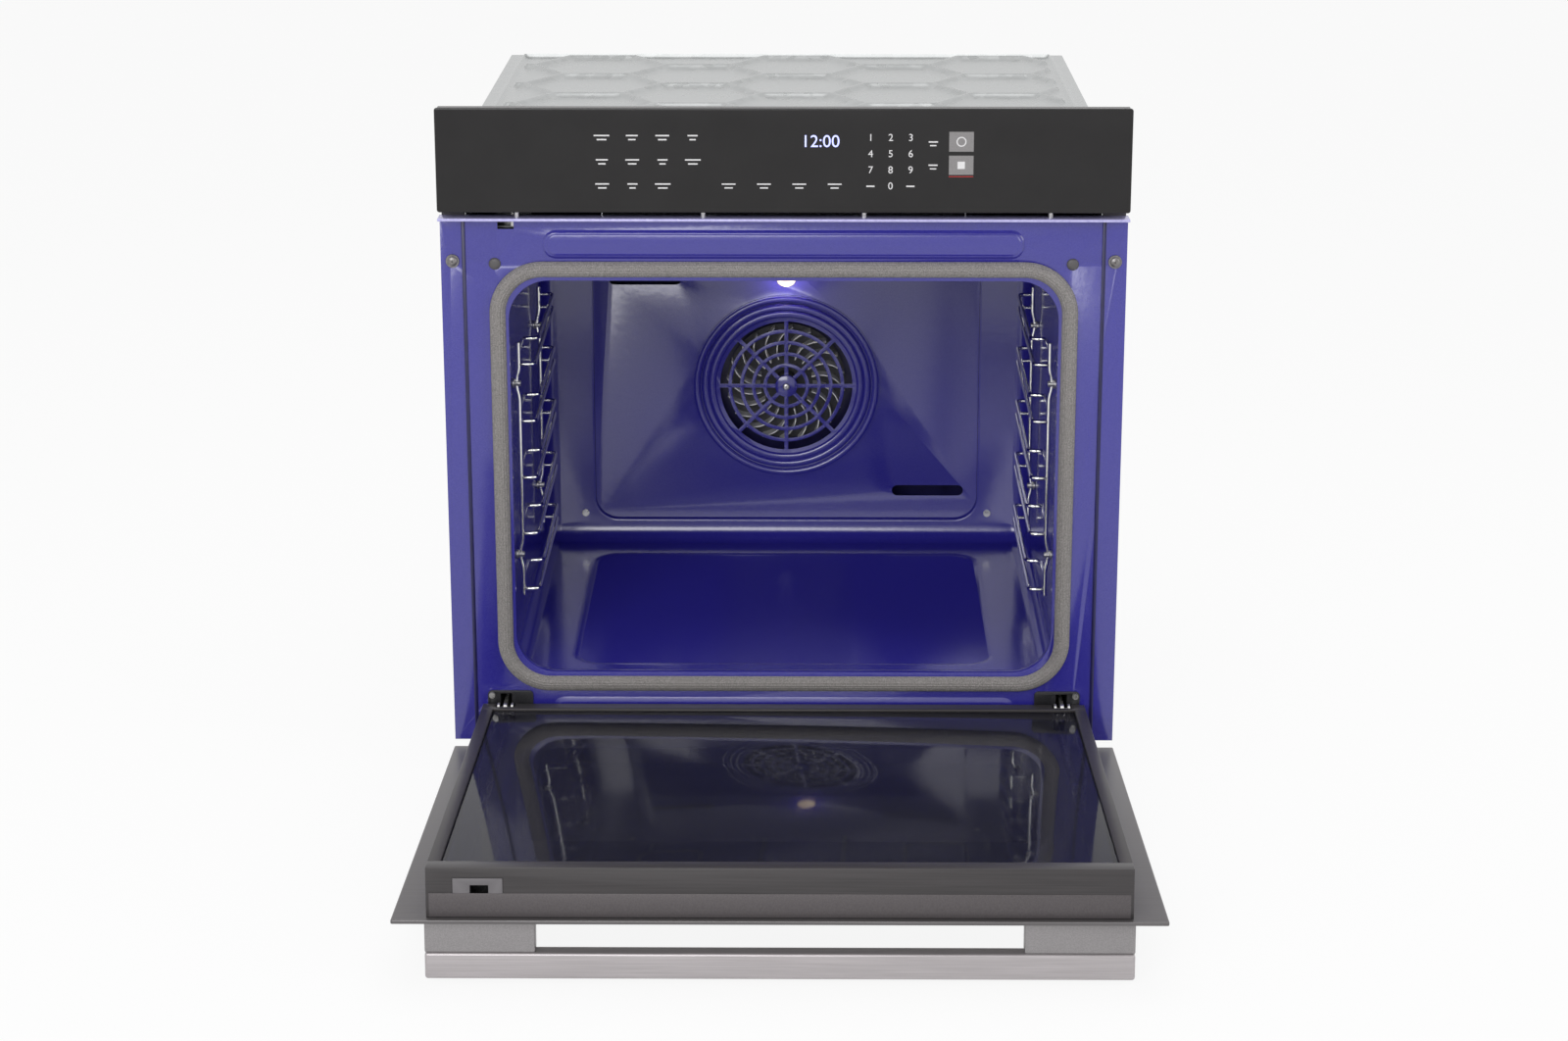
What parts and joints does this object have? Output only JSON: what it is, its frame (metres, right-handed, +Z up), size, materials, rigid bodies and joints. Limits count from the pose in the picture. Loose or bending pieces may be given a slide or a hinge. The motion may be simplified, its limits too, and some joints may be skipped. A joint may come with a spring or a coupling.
{
  "type": "wall oven",
  "caption": "Built-in single wall oven with a drop-down door, blue enamelled cavity, wire rack guides, rear convection fan and a touch control panel.",
  "frame": {"origin": "middle of the oven's width (X = 0), on the plane of the cabinet's face where the front frame's flanges land (Y = 0), at the underside of the chassis (Z = 0)", "axes": "+X to the right seen from the front, +Y back into the cabinet, +Z up"},
  "size_m": [0.756, 1.1714, 0.77],
  "materials": {
    "enamel": "glossy deep blue enamel with fine speckle",
    "galvanised": "galvanised sheet steel",
    "wool": "mineral wool",
    "gasket": "braided grey seal",
    "chrome_wire": "bright chromed wire",
    "heater_tube": "heater tube",
    "lamp_glass": "clear lamp glass",
    "bright_steel": "bright zinc-plated steel",
    "motor_steel": "dark motor case",
    "dark_plastic": "dark plastic",
    "panel_glass": "dark charcoal glass with printed keys",
    "display": "dark display with pale violet digits",
    "vent_trim": "bright vent strip",
    "bracket_black": "black hinge bracket",
    "door_grey": "dark stainless skin",
    "trim_black": "charcoal door trim",
    "strike_grey": "grey strike plate",
    "door_glass": "dark reflective oven glass",
    "handle_satin": "satin handle metal"
  },
  "bodies": {
    "oven": {"air_duct": "galvanised", "baffle_fixings": "bright_steel", "bake_element": "heater_tube", "base_pan": "galvanised", "blower_housing": "galvanised", "blower_motor": "motor_steel", "broil_element": "heater_tube", "cabinet_screws": "bright_steel", "control_board": "dark_plastic", "control_glass": "panel_glass", "control_housing": "dark_plastic", "display_module": "display", "door_gasket": "gasket", "fan_cover": "enamel", "fan_motor": "motor_steel", "frame_plugs": "dark_plastic", "front_frame": "enamel", "hinge_arms": "bright_steel", "hinge_brackets": "bracket_black", "hinge_screws": "bright_steel", "insulation": "wool", "lamp_lens": "lamp_glass", "latch_base": "galvanised", "latch_motor": "motor_steel", "oven_lamp": "lamp_glass", "oven_liner": "enamel", "panel_support": "galvanised", "rack_guide_left": "chrome_wire", "rack_guide_right": "chrome_wire", "rear_cover": "galvanised", "ring_element": "heater_tube", "side_panels": "galvanised", "temperature_probe": "bright_steel", "terminal_box": "galvanised", "top_cover": "galvanised", "upper_deck": "galvanised", "vent_pegs": "bright_steel", "vent_strip": "vent_trim"},
    "door": {"door_skin": "door_grey", "door_window": "door_glass", "inner_glass": "door_glass", "middle_glass": "door_glass", "door_wool": "wool", "side_rails": "trim_black", "top_trim": "trim_black", "bottom_trim": "trim_black", "strike_plate": "strike_grey", "handle_bar": "handle_satin", "handle_posts": "handle_satin", "hinge_channels": "bright_steel", "hinge_pins": "bright_steel", "hinge_springs": "bright_steel"},
    "spring_rods": {"spring_rods": "bright_steel"},
    "bail_left": {"hinge_bail_left": "bright_steel"},
    "bail_right": {"hinge_bail_right": "bright_steel"},
    "convection_fan": {"convection_fan": "bright_steel"},
    "blower_wheel": {"blower_wheel": "dark_plastic"},
    "latch_slide": {"latch_slide": "bright_steel"},
    "latch_hook": {"latch_hook": "bright_steel"},
    "latch_cam": {"latch_cam": "bright_steel"}
  },
  "joints": [
    {"name": "door_hinge", "type": "hinge", "parent": "oven", "child": "door", "pos_m": [0, -0.013, 0.0264], "axis": [-1, 0, 0], "range_deg": [0, 85.7]},
    {"name": "spring_rod_travel", "type": "slide", "parent": "door", "child": "spring_rods", "axis": [0, 0.9972, -0.075], "range_m": [0, 0.018]},
    {"name": "bail_left_turn", "type": "hinge", "parent": "oven", "child": "bail_left", "pos_m": [-0.318, -0.004, 0.016], "axis": [1, 0, 0], "range_deg": [0, 60]},
    {"name": "bail_right_turn", "type": "hinge", "parent": "oven", "child": "bail_right", "pos_m": [0.318, -0.004, 0.016], "axis": [1, 0, 0], "range_deg": [0, 60]},
    {"name": "convection_fan_spin", "type": "hinge", "parent": "oven", "child": "convection_fan", "pos_m": [0, 0.545, 0.269], "axis": [0, 1, 0], "continuous": true},
    {"name": "blower_spin", "type": "hinge", "parent": "oven", "child": "blower_wheel", "pos_m": [0, 0.3, 0.62], "axis": [0, 0, 1], "continuous": true},
    {"name": "latch_travel", "type": "slide", "parent": "oven", "child": "latch_slide", "axis": [0, -1, 0], "range_m": [0, 0.036]},
    {"name": "latch_hook_turn", "type": "hinge", "parent": "latch_slide", "child": "latch_hook", "pos_m": [-0.29865, 0.06, 0.5917], "axis": [1, 0, 0], "range_deg": [0, 6]},
    {"name": "latch_cam_turn", "type": "hinge", "parent": "oven", "child": "latch_cam", "pos_m": [-0.304, 0.1, 0.6], "axis": [0, 0, 1], "range_deg": [0, 180]}
  ],
  "couplings": [
    {"joint": "spring_rod_travel", "follows": "door_hinge", "m_per_rad": 0.012033},
    {"joint": "latch_hook_turn", "follows": "latch_travel", "rad_per_m": 2.9088},
    {"joint": "latch_cam_turn", "follows": "latch_travel", "rad_per_m": 87.265}
  ]
}
